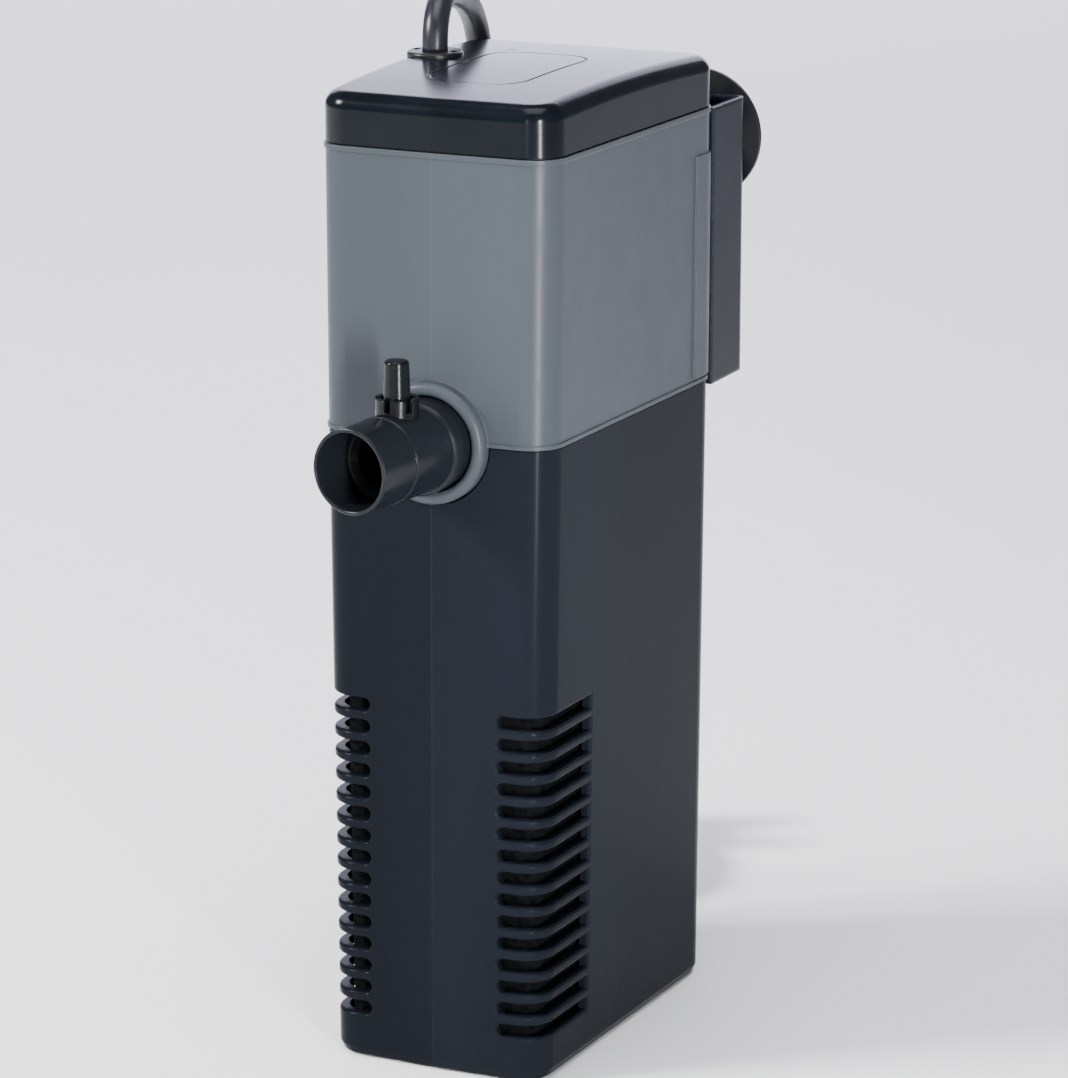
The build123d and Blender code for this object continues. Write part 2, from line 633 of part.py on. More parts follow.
for side, name in ((-1, "suction_cup_left"), (1, "suction_cup_right")):
    with BuildPart() as cup:
        # knob in front of the web, neck through it, thick cone and thin lip behind it
        with BuildSketch(Plane.YZ.offset(side * CUP_X)):
            with BuildLine():
                Polyline(
                    (55.6, CUP_Z), (55.6, CUP_Z + 3.4), (59.9, CUP_Z + 4.0), (59.9, CUP_Z + 3.2),
                    (62.1, CUP_Z + 3.2), (62.3, CUP_Z + 8.2), (63.6, CUP_Z + 9.4), (65.4, CUP_Z + CUP_RADIUS),
                    (CUP_RIM_Y, CUP_Z + CUP_RADIUS), (CUP_RIM_Y, CUP_Z + CUP_RADIUS - 1.2),
                    (65.2, CUP_Z + 9.6), (64.2, CUP_Z), close=True,
                )
            make_face()
        revolve(axis=Axis((side * CUP_X, 0, CUP_Z), (0, 1, 0)))
    save(cup, name)

# ---------------------------------------------------------------- mains lead

COIL_PLANE = Plane(origin=(COIL_X, COIL_Y, 0)).rotated((0, 0, COIL_TURN))
CORD_Z = COIL_BASE_Z + CORD_RADIUS
# over the rear left corner of the lid
ARCH = [
    (CORD_X, CORD_Y, GROMMET_TOP_Z), (-23.2, 7.0, 223.4), (-23.9, 9.7, 228.0), (-25.0, 14.4, 230.6),
    (-26.5, 20.6, 230.6), (-28.6, 29.5, 228.9), (-31.0, 39.8, 225.8), (-33.2, 49.0, 219.6),
    (-34.5, 54.6, 209.6), (-35.0, 56.8, 194.0),
]
# down behind the casing and into the coil, in the coil's frame
DROP = [
    (-9.5, -30.6, 168.0), (-13.5, -31.4, 134.0), (-19.5, -33.4, 99.0), (-26.5, -37.8, 67.0), (-31.8, -42.6, 46.0),
    (-34.4, -45.2, 33.0), (-35.6, -45.0, 21.5), (-35.8, -40.0, 11.0), (-35.8, -31.0, 5.0), (-35.8, -21.0, CORD_Z),
]
# from the top of the coil to the plug, which lies on it, in the coil's frame
TAIL = [
    (-34.6, -9.3, 15.5), (-36.9, -0.6, 16.1), (-34.7, 9.7, 16.5), (-28.2, 17.9, 16.5), (-18.8, 22.5, 16.5),
    (-9.8, 22.5, 16.5),
]


def corner_radii(points):
    """The largest arcs that the runs allow: 0.45 of the shorter run over the tangent of half the turn."""
    radii = []
    for before, corner, after in zip(points, points[1:], points[2:]):
        run_in = corner - before
        run_out = after - corner
        half_turn = math.radians(run_in.get_angle(run_out)) / 2
        radii.append(0.45 * min(run_in.length, run_out.length) / math.tan(half_turn))
    return radii


def cord_tube(points):
    radii = corner_radii(points)
    with BuildPart() as tube:
        with BuildLine() as path:
            FilletPolyline(*points, radius=radii)
        with BuildSketch(Plane(origin=points[0], z_dir=points[1] - points[0])):
            Circle(CORD_RADIUS)
        sweep(path=path.line)
    section = math.pi * CORD_RADIUS**2
    print("radii", [round(radius, 1) for radius in radii])
    print("length", round(path.wires()[0].length, 1), "volume over section", round(tube.part.volume / section, 1))
    return tube


lead_points = [Vector(*place) for place in ARCH] + [COIL_PLANE.from_local_coords(Vector(*place)) for place in DROP]
cord_lead = cord_tube(lead_points)
save(cord_lead, "cord_lead")

tail_points = [COIL_PLANE.from_local_coords(Vector(*place)) for place in TAIL]
cord_tail = cord_tube(tail_points)
save(cord_tail, "cord_tail")

COIL_HALF_WIDTH = COIL_WIDE * CORD_RADIUS
COIL_HEIGHT = COIL_HIGH * CORD
TURN_LENGTH = 2 * math.pi * COIL_RADIUS

with BuildPart() as cord_coil:
    with BuildSketch(Plane(origin=COIL_PLANE.origin, x_dir=COIL_PLANE.x_dir, z_dir=-COIL_PLANE.y_dir)):
        with Locations((COIL_RADIUS, COIL_BASE_Z + COIL_HEIGHT / 2)):
            RectangleRounded(2 * COIL_HALF_WIDTH, COIL_HEIGHT, CORD_RADIUS * 0.9)
    revolve(axis=Axis(COIL_PLANE.origin, (0, 0, 1)))
    # the two ends of the cord leave its outer turn
    entry = lead_points[-1]
    entry_way = COIL_PLANE.y_dir
    exit_way = (tail_points[1] - tail_points[0]).normalized()
    with BuildSketch(Plane(origin=entry + entry_way * 0.4, z_dir=entry_way)):
        Circle(CORD_RADIUS)
    extrude(amount=20)
    with BuildSketch(Plane(origin=tail_points[0], z_dir=-exit_way)):
        Circle(CORD_RADIUS)
    extrude(amount=4)
    with BuildSketch(Plane(origin=tail_points[0] - exit_way * 2, z_dir=(0, 0, -1))):
        Circle(CORD_RADIUS * 0.6)
    extrude(amount=CORD)
save(cord_coil, "cord_coil")

TIE_WALL = 0.8
TIE_ANGLE = -70.0
tie_plane = COIL_PLANE.rotated((0, 0, TIE_ANGLE))
with BuildPart() as cord_tie:
    with BuildSketch(Plane(origin=tie_plane.origin, x_dir=tie_plane.x_dir, z_dir=-tie_plane.y_dir)):
        with Locations((COIL_RADIUS, COIL_BASE_Z + COIL_HEIGHT / 2)):
            RectangleRounded(2 * COIL_HALF_WIDTH + 2.6, COIL_HEIGHT + 2 * TIE_WALL, 3)
            RectangleRounded(2 * COIL_HALF_WIDTH + 1.0, COIL_HEIGHT, 2.2, mode=Mode.SUBTRACT)
    extrude(amount=3.5, both=True)
save(cord_tie, "cord_tie")

# ---------------------------------------------------------------- mains plug

plug_start = tail_points[-1]
PLUG = Plane(origin=plug_start, x_dir=(0, 0, 1), z_dir=COIL_PLANE.x_dir)
NECK_LENGTH = 12.0
LIFT = COIL_BASE_Z + COIL_HEIGHT + 0.1 + PLUG_THICK / 2 - plug_start.Z
with BuildPart() as plug_body:
    with BuildSketch(PLUG):
        Circle(CORD_RADIUS + 0.4)
    with BuildSketch(PLUG.offset(NECK_LENGTH)):
        with Locations((LIFT, 0)):
            RectangleRounded(PLUG_THICK * 0.8, PLUG_WIDTH * 0.5, 4)
    loft()
    with BuildSketch(PLUG.offset(NECK_LENGTH)):
        with Locations((LIFT, 0)):
            RectangleRounded(PLUG_THICK, PLUG_WIDTH * 0.8, 5)
    with BuildSketch(PLUG.offset(PLUG_LENGTH)):
        with Locations((LIFT, 0)):
            RectangleRounded(PLUG_THICK, PLUG_WIDTH, 5)
    loft()
save(plug_body, "plug_body")

with BuildPart() as plug_pins:
    with BuildSketch(PLUG.offset(PLUG_LENGTH)):
        for side in (-1, 1):
            with Locations((LIFT, side * PIN_SPACING / 2)):
                Circle(PIN_RADIUS)
    extrude(amount=PIN_LENGTH)
    fillet(plug_pins.faces().group_by(Axis(PLUG.origin, PLUG.z_dir))[-1].edges(), 1.0)
save(plug_pins, "plug_pins")

ends = (cord_lead.part.volume + cord_tail.part.volume) / (math.pi * CORD_RADIUS**2)
print("turns in the coil, about", round((CORD_LENGTH - ends) / TURN_LENGTH, 2))
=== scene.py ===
"""Internal power filter: camera, cord, sponge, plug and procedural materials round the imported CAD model."""

import json
import math

import bpy
from mathutils import Matrix, Vector, noise


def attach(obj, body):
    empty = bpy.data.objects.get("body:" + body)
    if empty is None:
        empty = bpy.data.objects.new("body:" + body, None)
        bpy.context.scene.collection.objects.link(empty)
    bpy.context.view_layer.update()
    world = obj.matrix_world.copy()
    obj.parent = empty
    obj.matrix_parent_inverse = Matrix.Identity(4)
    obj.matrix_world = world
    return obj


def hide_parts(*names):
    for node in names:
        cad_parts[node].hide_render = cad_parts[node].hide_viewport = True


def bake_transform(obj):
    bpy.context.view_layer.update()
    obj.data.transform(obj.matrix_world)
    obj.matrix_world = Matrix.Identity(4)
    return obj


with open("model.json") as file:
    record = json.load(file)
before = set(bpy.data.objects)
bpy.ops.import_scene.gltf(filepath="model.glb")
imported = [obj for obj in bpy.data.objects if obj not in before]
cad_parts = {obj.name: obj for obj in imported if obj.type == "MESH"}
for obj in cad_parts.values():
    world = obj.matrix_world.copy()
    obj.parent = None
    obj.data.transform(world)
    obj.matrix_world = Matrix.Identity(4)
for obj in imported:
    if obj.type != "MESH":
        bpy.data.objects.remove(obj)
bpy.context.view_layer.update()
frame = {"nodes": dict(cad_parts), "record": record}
nodes = frame["nodes"]
scene = bpy.context.scene
MM = 0.001

# ---------------------------------------------------------------- camera

CAMERA_LENS = 154.25          # mm, on a sensor 36 mm wide
CAMERA_TILT = 14.764          # degrees below the horizon
CAMERA_TURN = 24.902          # degrees round from the front, towards the right side

camera_data = bpy.data.cameras.new("camera")
camera_data.lens = CAMERA_LENS
camera_data.sensor_width = 36.0
camera = bpy.data.objects.new("camera", camera_data)
camera.location = (0.42612, -0.90870, 0.37623)
camera.rotation_euler = (math.radians(90 - CAMERA_TILT), 0, math.radians(CAMERA_TURN))
scene.collection.objects.link(camera)
scene.camera = camera


# ---------------------------------------------------------------- mesh helpers


def add_object(name, data):
    piece = bpy.data.objects.new(name, data)
    scene.collection.objects.link(piece)
    return piece


def mesh_object(name, vertices, faces):
    mesh = bpy.data.meshes.new(name)
    mesh.from_pydata([tuple(v) for v in vertices], [], faces)
    mesh.validate()
    mesh.polygons.foreach_set("use_smooth", [True] * len(mesh.polygons))
    mesh.update()
    return add_object(name, mesh)


def spline_points(points):
    """The points of a smooth NURBS line with these control points, as Blender evaluates it."""
    curve = bpy.data.curves.new("route", "CURVE")
    curve.dimensions = "3D"
    curve.resolution_u = 12
    spline = curve.splines.new("NURBS")
    spline.points.add(len(points) - 1)
    for point, place in zip(spline.points, points):
        point.co = (*place, 1)
    spline.order_u = 3
    spline.use_endpoint_u = True
    line = bpy.data.objects.new("route", curve)
    scene.collection.objects.link(line)
    mesh = bpy.data.meshes.new_from_object(line)
    found = [v.co.copy() for v in mesh.vertices]
    bpy.data.objects.remove(line)
    bpy.data.curves.remove(curve)
    bpy.data.meshes.remove(mesh)
    return found


def tube(name, line, radius, around=24):
    """A round tube along a line, closed at both ends. Its rings don't twist."""
    vertices, faces = [], []
    side = Vector((1, 0, 0))        # carried along from ring to ring
    for i, place in enumerate(line):
        way = (line[min(i + 1, len(line) - 1)] - line[max(i - 1, 0)]).normalized()
        side = (side - way * side.dot(way)).normalized()
        other = way.cross(side)
        for k in range(around):
            angle = 2 * math.pi * k / around
            vertices.append(place + (side * math.cos(angle) + other * math.sin(angle)) * radius)
    for i in range(len(line) - 1):
        for k in range(around):
            a, b = i * around + k, i * around + (k + 1) % around
            faces.append((a, b, b + around, a + around))
    last = (len(line) - 1) * around
    faces.append(tuple(reversed(range(around))))
    faces.append(tuple(range(last, last + around)))
    return mesh_object(name, vertices, faces)


# ---------------------------------------------------------------- mains lead

# All in mm. The arch is in the object's own axes. The drop, the coil and the tail are in the coil's axes:
# round its centre, and turned as the camera is.

CORD = 5.8
COIL_CENTRE = Vector((-40.84, 87.98, 0))
COIL_AXES = Matrix.Rotation(math.radians(24.9), 3, "Z")
FLOOR_GAP = 0.9               # under the lowest turns
CORD_Z = FLOOR_GAP + CORD / 2
ARCH = [
    (-23.2, 7.0, 219.8), (-23.2, 7.0, 223.4), (-23.9, 9.7, 228.0), (-25.0, 14.4, 230.6), (-26.5, 20.6, 230.6),
    (-28.6, 29.5, 228.9), (-31.0, 39.8, 225.8), (-33.2, 49.0, 219.6), (-34.5, 54.6, 209.6), (-35.0, 56.8, 194.0),
]
DROP = [
    (-9.5, -30.6, 168.0), (-13.5, -31.4, 134.0), (-19.5, -33.4, 99.0), (-26.5, -37.8, 67.0), (-31.8, -42.6, 46.0),
    (-34.4, -45.2, 33.0), (-35.6, -45.0, 21.5), (-35.8, -40.0, 11.0), (-35.8, -31.0, 5.0), (-35.8, -21.0, CORD_Z),
]
TAIL = [
    (-34.6, -9.3, 15.5), (-36.9, -0.6, 16.1), (-34.7, 9.7, 16.5), (-28.2, 17.9, 16.5), (-18.8, 22.5, 16.5),
    (-9.8, 22.5, 16.5),
]
LOWER, UPPER = CORD_Z, CORD_Z + CORD
# radius and height of each turn
LAYS = [(35.8, LOWER), (30.0, LOWER), (24.2, LOWER), (24.2, UPPER), (30.0, UPPER), (35.8, UPPER)]
PER_TURN = 16                 # points in one turn
STEP_TIME = 0.25              # the part of a turn that the step to the next turn takes
LAST_RISES = (0.2, 1.7)       # the last two points rise to meet the tail


def coil_points():
    """Nearly six turns: inwards along the floor, up, and outwards on top, each a diameter from the last."""
    found = []
    last = PER_TURN * len(LAYS) - 2
    for i in range(1, last + 1):
        turn, part = divmod(i, PER_TURN)
        now = LAYS[min(turn, len(LAYS) - 1)]
        before = LAYS[max(turn - 1, 0)]
        # each turn but the first starts with the step from the turn before it
        step = min(1.0, part / (PER_TURN * STEP_TIME)) if turn else 1.0
        radius = before[0] + (now[0] - before[0]) * step
        z = before[1] + (now[1] - before[1]) * step
        if i >= last - 1:
            z += LAST_RISES[i - last + 1]
        # a smooth line cuts inside its control points
        radius /= math.cos(math.pi / PER_TURN) ** 0.5
        angle = math.pi - 2 * math.pi * i / PER_TURN
        found.append((radius * math.cos(angle), radius * math.sin(angle), z))
    return found


def from_coil(place):
    return COIL_CENTRE + COIL_AXES @ Vector(place)


# ---------------------------------------------------------------- plug, which lies on the coil

PLUG_AXIS = COIL_AXES @ Vector((1, 0, 0))
PLUG_SIDE = COIL_AXES @ Vector((0, 1, 0))
PLUG_START = from_coil(TAIL[-1])
PLUG_LENGTH = 33.0
PLUG_RISE = 2.6               # of the body's middle above the cord's
# place along the axis, half width, half height, rise of the middle, squareness
PLUG_SECTIONS = [
    (0.0, 3.45, 3.45, 0.0, 2.0), (3.0, 3.9, 3.8, 0.2, 2.1), (6.5, 4.7, 4.3, 0.6, 2.3), (10.0, 5.8, 4.9, 1.3, 2.6),
    (12.0, 7.6, 5.5, 2.2, 2.9), (14.0, 9.4, 6.2, PLUG_RISE, 3.2), (18.0, 10.3, 6.4, PLUG_RISE, 3.6),
    (23.0, 11.0, 6.4, PLUG_RISE, 3.8), (28.0, 12.2, 6.5, PLUG_RISE, 4.2), (31.6, 12.9, 6.5, PLUG_RISE, 4.6),
    (32.6, 12.8, 6.4, PLUG_RISE, 4.6), (33.0, 12.3, 5.9, PLUG_RISE, 4.6),
]
RELIEF_START, RELIEF_END = 1.0, 10.4
GROOVE_WIDTH, GROOVE_DEPTH = 1.55, 0.32
GRIP_START, GRIP_END = 17.0, 28.4
WAVE_LENGTH, WAVE_DEPTH = 1.9, 0.28
GRIP_SHARE = 0.72             # of the half width


def between(table, s):
    """The row of a table at s, smoothly between its rows."""
    for low, high in zip(table, table[1:]):
        if s <= high[0]:
            part = (s - low[0]) / (high[0] - low[0])
            part = part * part * (3 - 2 * part)
            return [a + (b - a) * part for a, b in zip(low, high)]
    return list(table[-1])


def relief_groove(s):
    """Depth of the strain relief's grooves, each followed by a rib as wide as itself."""
    along = s - RELIEF_START
    if not RELIEF_START < s < RELIEF_END or along % (2 * GROOVE_WIDTH) >= GROOVE_WIDTH:
        return 0.0
    return GROOVE_DEPTH * max(0.0, math.sin(along / GROOVE_WIDTH * math.pi)) ** 0.7


def grip_ridge(s):
    """Depth of the waves on the plug's two broad faces."""
    if not GRIP_START < s < GRIP_END:
        return 0.0
    return WAVE_DEPTH * (0.5 - 0.5 * math.cos((s - GRIP_START) / WAVE_LENGTH * 2 * math.pi))


def plug_ring(s, around):
    _, half_width, half_height, rise, power = between(PLUG_SECTIONS, s)
    groove = relief_groove(s)
    half_width, half_height = half_width - groove, half_height - groove
    ridge = grip_ridge(s)
    ring = []
    for k in range(around):
        angle = 2 * math.pi * k / around
        c, d = math.cos(angle), math.sin(angle)
        across = math.copysign(abs(c) ** (2 / power), c) * half_width
        up = math.copysign(abs(d) ** (2 / power), d) * half_height
        flat = max(0.0, 1 - (across / (GRIP_SHARE * half_width)) ** 4)
        up -= math.copysign(ridge * flat, up)
        ring.append(PLUG_START + PLUG_AXIS * s + PLUG_SIDE * across + Vector((0, 0, rise + up)))
    return ring


def plug_piece():
    around, steps = 72, 132
    vertices, faces = [], []
    for i in range(steps + 1):
        vertices += [place * MM for place in plug_ring(PLUG_LENGTH * i / steps, around)]
    for i in range(steps):
        for k in range(around):
            a, b = i * around + k, i * around + (k + 1) % around
            faces.append((a, a + around, b + around, b))
    faces.append(tuple(range(around)))
    faces.append(tuple(reversed(range(steps * around, (steps + 1) * around))))
    piece = mesh_object("plug_moulding", vertices, faces)
    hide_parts("plug_body")
    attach(piece, "canister")
    return piece


plug = plug_piece()

# ---------------------------------------------------------------- lead, from the grommet to the plug

control = [Vector(place) for place in ARCH]
control += [from_coil(place) for place in DROP + coil_points() + TAIL]
cord_line = [place * MM for place in spline_points(control)]
cord = tube("mains_lead", cord_line, CORD / 2 * MM)
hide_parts("cord_lead", "cord_coil", "cord_tail")
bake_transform(cord)

# ---------------------------------------------------------------- materials


class Graph:
    """A material's node tree, with one call for each kind of node it needs."""

    def __init__(self, name):
        self.material = bpy.data.materials.new(name)
        self.material.use_nodes = True
        self.tree = self.material.node_tree
        self.shader = self.tree.nodes["Principled BSDF"]
        self.place = self.node("ShaderNodeTexCoord").outputs["Object"]

    def node(self, kind, inputs=None, **settings):
        made = self.tree.nodes.new(kind)
        for key, value in settings.items():
            setattr(made, key, value)
        for key, value in (inputs or {}).items():
            if isinstance(value, bpy.types.NodeSocket):
                self.tree.links.new(value, made.inputs[key])
            else:
                made.inputs[key].default_value = value
        return made

    def noise(self, per_metre, detail=3.0, roughness=0.55, stretch=None):
        place = self.place
        if stretch:
            place = self.node("ShaderNodeMapping", {"Vector": place, "Scale": stretch}).outputs[0]
        inputs = {"Vector": place, "Scale": per_metre, "Detail": detail, "Roughness": roughness}
        return self.node("ShaderNodeTexNoise", inputs).outputs[0]

    def cells(self, per_metre):
        """Distance to the nearest of random points."""
        return self.node("ShaderNodeTexVoronoi", {"Vector": self.place, "Scale": per_metre}).outputs["Distance"]

    def spread(self, value, low, high, start=0.3, end=0.7):
        """The value's range start to end, mapped to low to high."""
        inputs = {"Value": value, "From Min": start, "From Max": end, "To Min": low, "To Max": high}
        return self.node("ShaderNodeMapRange", inputs).outputs[0]

    def math(self, operation, a, b=0.0):
        return self.node("ShaderNodeMath", {0: a, 1: b}, operation=operation).outputs[0]

    def mix(self, factor, a, b):
        """Colour a where the factor is 0, and b where it is 1."""
        # a mix node has a set of sockets for each data type: 6 and 7 are its colours, and output 2 the result
        return self.node("ShaderNodeMix", {0: factor, 6: a, 7: b}, data_type="RGBA").outputs[2]

    def bump(self, height, distance, normal=None):
        inputs = {"Height": height, "Distance": distance, "Strength": 1.0}
        if normal is not None:
            inputs["Normal"] = normal
        return self.node("ShaderNodeBump", inputs).outputs[0]

    def soft_edges(self, radius):
        """The surface's normal, with its edges rounded over this radius."""
        return self.node("ShaderNodeBevel", {"Radius": radius}, samples=6).outputs[0]

    def wear(self, soft):
        """1 on sharp outer and inner edges, 0 on flat faces."""
        true = self.node("ShaderNodeNewGeometry").outputs["Normal"]
        same = self.node("ShaderNodeVectorMath", {0: soft, 1: true}, operation="DOT_PRODUCT").outputs["Value"]
        return self.spread(same, 1.0, 0.0, 0.86, 0.995)

    def x(self):
        return self.node("ShaderNodeSeparateXYZ", {0: self.place}).outputs[0]

    def parting_line(self, half_width):
        """1 on the mould's parting line, where x is 0, and 0 away from it."""
        return self.spread(self.math("ABSOLUTE", self.x()), 1.0, 0.0, 0.0, half_width)

    def gain(self, colour, factor):
        return self.node("ShaderNodeVectorMath", {0: colour, 3: factor}, operation="SCALE").outputs[0]

    def set(self, **inputs):
        """Sets or links the shader's own sockets: an underscore stands for a space in a name."""
        for key, value in inputs.items():
            socket = self.shader.inputs[key.replace("_", " ")]
            if isinstance(value, bpy.types.NodeSocket):
                self.tree.links.new(value, socket)
            else:
                socket.default_value = value


def rgba(colour, gain=1.0):
    return tuple(min(1.0, c * gain) for c in colour) + (1.0,)


def moulded(
    name, colour, roughness, grain=0.010, edge=0.35, contrast=0.10, rough_spread=0.06, streak=False,
    wear_gain=1.6, specular=0.5, seam=0.0, painted_half_shade=0.0,
):
    """Injection-moulded plastic: faint flow marks, a fine spark-eroded grain and slightly polished, paler edges.

    The grain's height and the edges' radius are in mm. A seam is a paler parting line down the middle. Beside it the
    halves carry painted shade and painted light: the half towards -x is darkened and the half towards +x lightened by
    the given share, as light falls on two faces that meet at a slight angle.
    """
    g = Graph(name)
    stretch = (1.0, 1.0, 0.12) if streak else None
    flow = g.noise(46, 2.0, 0.5, stretch)
    mottle = g.noise(420, 3.0, 0.6)
    blend = g.math("ADD", g.math("MULTIPLY", flow, 0.7), g.math("MULTIPLY", mottle, 0.3))
    body = g.mix(g.spread(blend, 0, 1, 0.35, 0.65), rgba(colour, 1 - contrast), rgba(colour, 1 + contrast))
    soft = g.soft_edges(edge * MM)
    worn = g.math("MULTIPLY", g.wear(soft), g.spread(g.noise(900, 2.0), 0.25, 0.9))
    if seam:
        line = g.parting_line(0.3 * MM)
        # painted shade on the -x half and painted light on the +x half, as light falls on two faces meeting at a slight
        # angle
        side = g.spread(g.x(), 1 - painted_half_shade, 1 + painted_half_shade, -0.2 * MM, 0.2 * MM)
        body = g.mix(g.math("MULTIPLY", line, seam), g.gain(body, side), rgba([c * 1.25 + 0.003 for c in colour]))
    g.set(Base_Color=g.mix(worn, body, rgba([c * wear_gain + 0.004 for c in colour])))
    rough = g.spread(g.noise(150, 4.0, 0.65), roughness - rough_spread, roughness + rough_spread)
    g.set(Roughness=g.math("SUBTRACT", rough, g.math("MULTIPLY", worn, 0.10)))
    g.set(Normal=g.bump(g.noise(3200, 2.0, 0.6), grain * MM, soft))
    g.set(Specular_IOR_Level=specular)
    return g.material


def gloss(name, colour, roughness, edge=0.3, waves=0.048, specular=0.5):
    """Polished plastic: nearly black, with a slow waviness, faint hairlines and dust that dulls the gloss."""
    g = Graph(name)
    cloud = g.noise(70, 4.0, 0.6)
    soft = g.soft_edges(edge * MM)
    g.set(Base_Color=g.mix(g.spread(cloud, 0, 1), rgba(colour, 0.8), rgba(colour, 1.3)))
    hair = g.noise(1500, 1.0, 0.5, (1.0, 0.03, 1.0))
    dust = g.math("MULTIPLY", g.spread(cloud, 0, 0.05), g.spread(hair, 0.3, 1.0))
    g.set(Roughness=g.math("ADD", dust, roughness), Specular_IOR_Level=specular)
    low = g.bump(g.noise(38, 1.0, 0.4), waves * MM, soft)
    g.set(Normal=g.bump(g.noise(2600, 2.0), 0.0012 * MM, low))
    return g.material


def rubber(name, colour, roughness, grain=0.008, specular=0.4):
    """Moulded rubber: a dull bloom in patches, fine pitting and soft edges."""
    g = Graph(name)
    bloom = g.noise(120, 5.0, 0.65)
    soft = g.soft_edges(0.25 * MM)
    g.set(Base_Color=g.mix(g.spread(bloom, 0, 1), rgba(colour, 0.8), rgba([c * 1.35 + 0.001 for c in colour])))
    g.set(Roughness=g.spread(bloom, roughness - 0.08, roughness + 0.1))
    pits = g.math("ADD", g.noise(2600, 3.0, 0.6), g.spread(g.cells(1900), 0.0, 0.5, 0.0, 0.4))
    g.set(Normal=g.bump(pits, grain * MM, soft))
    g.set(Specular_IOR_Level=specular)
    return g.material


def metal(name, colour, roughness, stretch=(1.0, 1.0, 0.05), per_metre=2400):
    """Turned, drawn or rolled metal: fine lines along the stretched axis and slight tarnish."""
    g = Graph(name)
    lines = g.noise(per_metre, 2.0, 0.6, stretch)
    tarnish = g.noise(260, 4.0, 0.6)
    g.set(Base_Color=g.mix(g.spread(tarnish, 0, 1), rgba(colour, 0.78), rgba(colour)), Metallic=1.0)
    g.set(Roughness=g.math("ADD", g.spread(lines, 0.0, 0.16), g.spread(tarnish, roughness - 0.05, roughness + 0.08)))
    g.set(Normal=g.bump(lines, 0.006 * MM, g.soft_edges(0.15 * MM)))
    return g.material


def foam_material(name, colour, pores_per_metre):
    """Open-cell filter foam: struts round pores, with painted shade darkening each pore towards its middle."""
    g = Graph(name)
    pore = g.cells(pores_per_metre)
    strut = g.spread(pore, 0.0, 1.0, 0.18, 0.62)
    # painted shade in the pores, darker towards each hollow's middle, and painted light on the struts between them
    tone = g.mix(strut, rgba(colour, 0.25), rgba(colour, 1.25))
    g.set(Base_Color=g.mix(g.spread(g.noise(90, 3.0), 0.0, 0.35), tone, rgba(colour, 0.5)))
    g.set(Roughness=g.spread(g.noise(1400, 2.0), 0.82, 0.98))
    g.set(Normal=g.bump(g.math("ADD", strut, g.spread(g.noise(3800, 2.0), 0, 0.3)), 0.35 * MM), Specular_IOR_Level=0.06)
    return g.material


SLEEVE_LENGTH = 9.5           # mm, of the pins' insulating sleeves


def sleeved_pins():
    """Plug pins: bare metal at the tips, and an insulating sleeve over the half next to the plug."""
    g = Graph("pin_metal")
    along = g.node("ShaderNodeVectorMath", {0: g.place, 1: PLUG_AXIS}, operation="DOT_PRODUCT").outputs["Value"]
    start = (PLUG_START.dot(PLUG_AXIS) + PLUG_LENGTH + SLEEVE_LENGTH) * MM
    bare = g.spread(along, 0.0, 1.0, start, start + 0.1 * MM)
    tarnish = g.noise(500, 4.0, 0.6)
    brass = g.mix(g.spread(tarnish, 0, 1), (0.60, 0.57, 0.50, 1), (0.74, 0.72, 0.66, 1))
    g.set(Base_Color=g.mix(bare, (0.010, 0.010, 0.012, 1), brass), Metallic=bare)
    g.set(Roughness=g.math("SUBTRACT", g.spread(tarnish, 0.36, 0.48), g.math("MULTIPLY", bare, 0.16)))
    step = g.bump(bare, -0.12 * MM, g.soft_edges(0.1 * MM))
    g.set(Normal=g.bump(g.noise(1800, 2.0), 0.004 * MM, step))
    return g.material


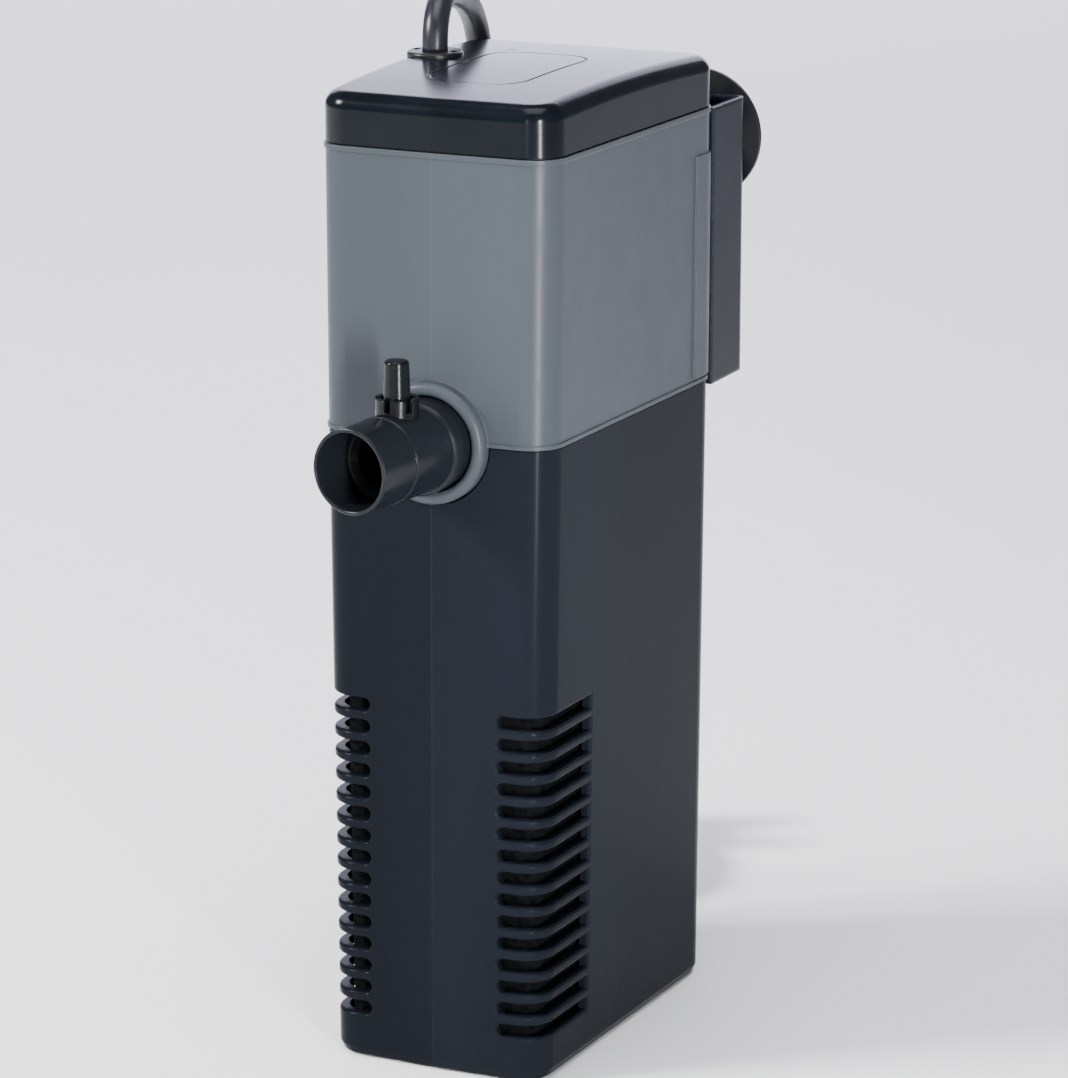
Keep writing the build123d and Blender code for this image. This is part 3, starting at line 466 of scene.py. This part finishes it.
MATERIALS = {
    # the canister and the casing get painted shade on the -x half and painted light on the +x half beside the seam
    "canister_plastic": moulded("canister_plastic", (0.0055, 0.0069, 0.0098), 0.20, grain=0.004, rough_spread=0.02,
                                streak=True, specular=0.024, wear_gain=3.0, seam=0.8, painted_half_shade=0.08),
    "casing_plastic": moulded("casing_plastic", (0.0335, 0.0388, 0.0460), 0.34, grain=0.009, contrast=0.05,
                              streak=True, wear_gain=1.8, specular=0.11, seam=0.5, painted_half_shade=0.025),
    "lid_gloss": gloss("lid_gloss", (0.0022, 0.0033, 0.0048), 0.17, specular=0.11),
    "holder_plastic": moulded("holder_plastic", (0.0063, 0.0079, 0.0121), 0.24, grain=0.004, edge=1.2,
                              specular=0.05, wear_gain=2.2),
    "nozzle_plastic": moulded("nozzle_plastic", (0.0064, 0.0078, 0.0102), 0.20, grain=0.004, edge=0.5,
                              specular=0.13, wear_gain=1.2),
    "peg_plastic": gloss("peg_plastic", (0.0024, 0.0031, 0.0037), 0.20, edge=0.4, specular=0.12),
    "inner_plastic": moulded("inner_plastic", (0.0180, 0.0200, 0.0230), 0.45),
    "impeller_plastic": moulded("impeller_plastic", (0.62, 0.64, 0.64), 0.42, contrast=0.03, wear_gain=1.05),
    "tie_plastic": moulded("tie_plastic", (0.0120, 0.0125, 0.0140), 0.5),
    "resin": gloss("resin", (0.030, 0.022, 0.018), 0.2, waves=0.16),
    "seal_rubber": rubber("seal_rubber", (0.0080, 0.0080, 0.0085), 0.55),
    "grommet_rubber": rubber("grommet_rubber", (0.0032, 0.0033, 0.0045), 0.34, grain=0.004, specular=0.25),
    "cup_rubber": rubber("cup_rubber", (0.0032, 0.0034, 0.0045), 0.36, grain=0.004, specular=0.12),
    "cord_rubber": rubber("cord_rubber", (0.0100, 0.0100, 0.0153), 0.34, grain=0.003, specular=0.25),
    "plug_rubber": rubber("plug_rubber", (0.0050, 0.0050, 0.0058), 0.48, grain=0.012, specular=0.3),
    "lamination_steel": metal("lamination_steel", (0.34, 0.34, 0.35), 0.38, (0.05, 0.05, 1.0), 1400),
    "copper_wire": metal("copper_wire", (0.62, 0.22, 0.09), 0.3, (0.04, 1.0, 0.04), 1500),
    "screw_steel": metal("screw_steel", (0.55, 0.55, 0.57), 0.28),
    "magnet": metal("magnet", (0.10, 0.10, 0.11), 0.42, (1.0, 1.0, 1.0), 900),
    "shaft_ceramic": moulded("shaft_ceramic", (0.82, 0.80, 0.75), 0.25, contrast=0.02, wear_gain=1.0),
    "pin_metal": sleeved_pins(),
    "foam_coarse": foam_material("foam_coarse", (0.0026, 0.0031, 0.0039), 520),
    "foam_fine": foam_material("foam_fine", (0.0047, 0.0055, 0.0071), 850),
}

slots = {row["node"]: row["material_slot"] for row in frame["record"]["subparts"]}
for node, slot_name in slots.items():
    mesh = nodes[node].data
    mesh.materials.clear()
    mesh.materials.append(MATERIALS[slot_name])
cord.data.materials.append(MATERIALS["cord_rubber"])
plug.data.materials.append(MATERIALS["plug_rubber"])

# ---------------------------------------------------------------- sponges

FOAM_MESH = 1.0 * MM
FOAM_SWELL = 0.15 * MM        # the faces wander inwards from the block by up to twice this
PORE_SHARE = 0.55             # of the pores' spacing, that a pore reaches out from its middle


def settle(piece):
    """Turns the piece's modifiers into its own mesh."""
    evaluated = piece.evaluated_get(bpy.context.evaluated_depsgraph_get())
    mesh = bpy.data.meshes.new_from_object(evaluated)
    piece.modifiers.clear()
    piece.data = mesh


def foam_block(name, node, pore, depth):
    """The node's block as cut foam: its faces are pitted with open pores this far apart, and bulge a little."""
    piece = add_object(name, nodes[node].data.copy())
    piece.modifiers.clear()
    remesh = piece.modifiers.new("remesh", "REMESH")
    remesh.mode = "VOXEL"
    remesh.voxel_size = FOAM_MESH
    settle(piece)
    mesh = piece.data
    normals = [v.normal.copy() for v in mesh.vertices]
    for vertex, normal in zip(mesh.vertices, normals):
        distances, _ = noise.voronoi(vertex.co / pore)
        hollow = max(0.0, PORE_SHARE - distances[0]) / PORE_SHARE
        swell = (noise.noise(vertex.co * 60) - 1) * FOAM_SWELL
        vertex.co += normal * (swell - depth * hollow)
    mesh.polygons.foreach_set("use_smooth", [True] * len(mesh.polygons))
    mesh.update()
    mesh.materials.clear()
    slot_name = slots[node]
    mesh.materials.append(MATERIALS[slot_name])
    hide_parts(node)
    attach(piece, "canister")
    return piece


foam_block("coarse_sponge", "sponge_coarse", 2.4 * MM, 0.5 * MM)
foam_block("fine_sponge", "sponge_fine", 1.6 * MM, 0.35 * MM)

# ---------------------------------------------------------------- stage and light

floor_graph = Graph("paper")
floor_tone = floor_graph.mix(floor_graph.noise(9, 3.0), (0.91, 0.91, 0.92, 1), (0.94, 0.94, 0.945, 1))
floor_graph.set(Base_Color=floor_tone, Roughness=0.9)
floor_graph.set(Normal=floor_graph.bump(floor_graph.noise(700, 3.0), 0.01 * MM))
floor = mesh_object("floor", [(-6, -4, 0), (6, -4, 0), (6, 8, 0), (-6, 8, 0)], [(0, 1, 2, 3)])
floor.data.materials.append(floor_graph.material)


def softbox(name, place, target, width, height, power, colour=(1, 1, 1), beam=180):
    """A lit panel that faces its target. The beam's angle is in degrees, and less than 180 is a grid on its front."""
    data = bpy.data.lights.new(name, "AREA")
    data.shape = "RECTANGLE"
    data.size, data.size_y = width, height
    data.energy = power
    data.color = colour
    data.spread = math.radians(beam)
    light = add_object(name, data)
    light.location = place
    light.visible_camera = False
    light.rotation_euler = (Vector(target) - Vector(place)).to_track_quat("-Z", "Y").to_euler()


softbox("key", (-1.35, -1.0, 1.1), (0, 0, 0.1), 0.5, 0.5, 88)
softbox("top", (0.1, -0.30, 1.7), (0, 0, 0), 1.2, 1.2, 30)
softbox("back", (-0.78, 1.75, 0.78), (0, 0, 0.2), 2.2, 1.3, 34, (0.80, 0.78, 1.0))
softbox("strip_right", (0.40, -0.42, 0.17), (0, 0, 0.17), 0.035, 0.34, 0.90, beam=50)
softbox("strip_front", (0.03, -1.25, 0.26), (0, 0, 0.18), 0.07, 0.44, 0.27, beam=60)

world = bpy.data.worlds.new("studio")
world.use_nodes = True
background = world.node_tree.nodes["Background"]
background.inputs["Color"].default_value = (0.86, 0.90, 1.0, 1)
background.inputs["Strength"].default_value = 0.30
scene.world = world
